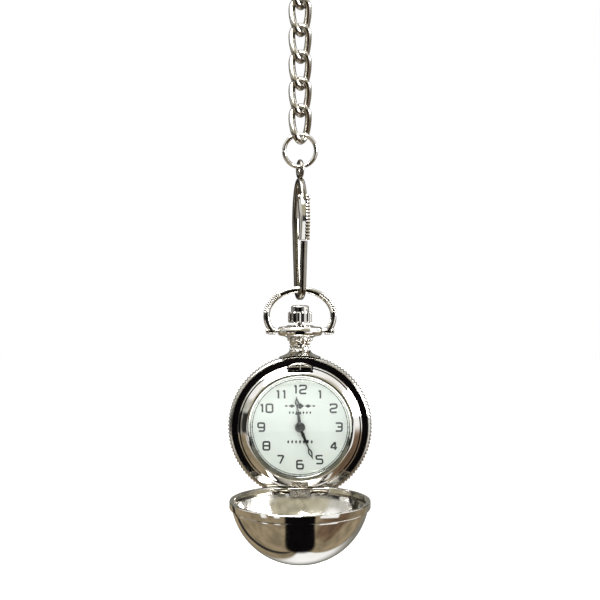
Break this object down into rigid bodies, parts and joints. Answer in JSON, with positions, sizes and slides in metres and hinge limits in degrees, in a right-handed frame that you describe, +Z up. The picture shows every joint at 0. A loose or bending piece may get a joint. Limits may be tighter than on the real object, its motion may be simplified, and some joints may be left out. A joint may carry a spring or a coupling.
{
  "type": "ball pocket watch on a curb chain",
  "caption": "Silver ball pocket watch with its domed front lid open, hanging by an oval bow from a snap clip, a jump ring and a short curb chain that ends in a T-bar.",
  "frame": {"origin": "middle of the T-bar, where the chain is held", "axes": "+Z up along the hanging chain, +X along the T-bar, the dial looks along -Y"},
  "size_m": [0.03, 0.0395, 0.1247],
  "materials": {
    "plated_metal": "polished nickel plate",
    "glass": "clear polished",
    "dial": "matt white lacquer with dark numerals",
    "hands": "black lacquer",
    "movement": "machined"
  },
  "bodies": {
    "bar": {"t_bar": "plated_metal"},
    "link_1": {"link_1": "plated_metal"},
    "link_2": {"link_2": "plated_metal"},
    "link_3": {"link_3": "plated_metal"},
    "link_4": {"link_4": "plated_metal"},
    "link_5": {"link_5": "plated_metal"},
    "link_6": {"link_6": "plated_metal"},
    "ring": {"ring": "plated_metal"},
    "clip": {"clip_body": "plated_metal"},
    "gate": {"clip_gate": "plated_metal", "clip_rivet": "plated_metal"},
    "bow": {"bow": "plated_metal"},
    "watch": {"pendant": "plated_metal", "screw_left": "plated_metal", "screw_right": "plated_metal", "case_back": "plated_metal", "bezel": "plated_metal", "crystal": "glass", "dial": "dial", "movement": "movement", "hinge_case": "plated_metal", "hinge_pin": "plated_metal"},
    "lid": {"lid_shell": "plated_metal", "hinge_lid": "plated_metal"},
    "catch": {"catch": "plated_metal"},
    "push_stem": {"stem": "plated_metal"},
    "set_sleeve": {"crown_sleeve": "plated_metal"},
    "crown": {"crown": "plated_metal", "crown_cap": "plated_metal"},
    "minute_hand": {"minute_hand": "hands"},
    "hour_hand": {"hour_hand": "hands"}
  },
  "joints": [
    {"name": "link_1_swing", "type": "hinge", "parent": "bar", "child": "link_1", "pos_m": [0, 0, -0.004], "axis": [0, 1, 0], "range_deg": [-60, 60]},
    {"name": "link_2_swing", "type": "hinge", "parent": "link_1", "child": "link_2", "pos_m": [0, 0, -0.00825], "axis": [0.9063, -0.4226, 0], "range_deg": [-20, 20]},
    {"name": "link_3_swing", "type": "hinge", "parent": "link_2", "child": "link_3", "pos_m": [0, 0, -0.01545], "axis": [0.4226, 0.9063, 0], "range_deg": [-20, 20]},
    {"name": "link_4_swing", "type": "hinge", "parent": "link_3", "child": "link_4", "pos_m": [0, 0, -0.01945], "axis": [0.9063, -0.4226, 0], "range_deg": [-20, 20]},
    {"name": "link_5_swing", "type": "hinge", "parent": "link_4", "child": "link_5", "pos_m": [0, 0, -0.02665], "axis": [0.4226, 0.9063, 0], "range_deg": [-20, 20]},
    {"name": "link_6_swing", "type": "hinge", "parent": "link_5", "child": "link_6", "pos_m": [0, 0, -0.03065], "axis": [0.9063, -0.4226, 0], "range_deg": [-20, 20]},
    {"name": "ring_swing", "type": "hinge", "parent": "link_6", "child": "ring", "pos_m": [0, 0, -0.03785], "axis": [0.4226, 0.9063, 0], "range_deg": [-35, 35]},
    {"name": "clip_swing", "type": "hinge", "parent": "ring", "child": "clip", "pos_m": [0, 0, -0.0431], "axis": [0.9848, -0.1736, 0], "range_deg": [-45, 45]},
    {"name": "gate_swing", "type": "hinge", "parent": "clip", "child": "gate", "pos_m": [0.00078, -0.00274, -0.0497], "axis": [0.9613, 0.2756, 0], "range_deg": [0, 30], "stiffness_Nm_per_rad": 0.004, "springref_deg": -28.65},
    {"name": "bow_swing", "type": "hinge", "parent": "clip", "child": "bow", "pos_m": [0, 0, -0.0702], "axis": [-0.2756, 0.9613, 0], "range_deg": [-40, 40]},
    {"name": "watch_swing", "type": "hinge", "parent": "bow", "child": "watch", "pos_m": [0, 0, -0.07735], "axis": [1, 0, 0], "range_deg": [-80, 80]},
    {"name": "lid_hinge", "type": "hinge", "parent": "watch", "child": "lid", "pos_m": [0, -0.0021, -0.1101], "axis": [1, 0, 0], "range_deg": [-94.6, 0]},
    {"name": "crown_press", "type": "slide", "parent": "watch", "child": "push_stem", "axis": [0, 0, -1], "range_m": [0, 0.00035], "stiffness_N_per_m": 400, "springref_m": -0.001},
    {"name": "catch_slide", "type": "slide", "parent": "watch", "child": "catch", "axis": [0, 0, -1], "range_m": [0, 0.00035]},
    {"name": "crown_pull", "type": "slide", "parent": "push_stem", "child": "set_sleeve", "axis": [0, 0, 1], "range_m": [0, 0.0008]},
    {"name": "crown_turn", "type": "hinge", "parent": "set_sleeve", "child": "crown", "pos_m": [0, 0, -0.07565], "axis": [0, 0, 1], "continuous": true},
    {"name": "minute_hand_turn", "type": "hinge", "parent": "watch", "child": "minute_hand", "pos_m": [0, -0.0016, -0.09725], "axis": [0, 1, 0], "continuous": true},
    {"name": "hour_hand_turn", "type": "hinge", "parent": "watch", "child": "hour_hand", "pos_m": [0, -0.00125, -0.09725], "axis": [0, 1, 0], "continuous": true}
  ],
  "couplings": [
    {"joint": "hour_hand_turn", "follows": "minute_hand_turn", "ratio": 0.083333},
    {"joint": "catch_slide", "follows": "crown_press", "ratio": 1}
  ]
}
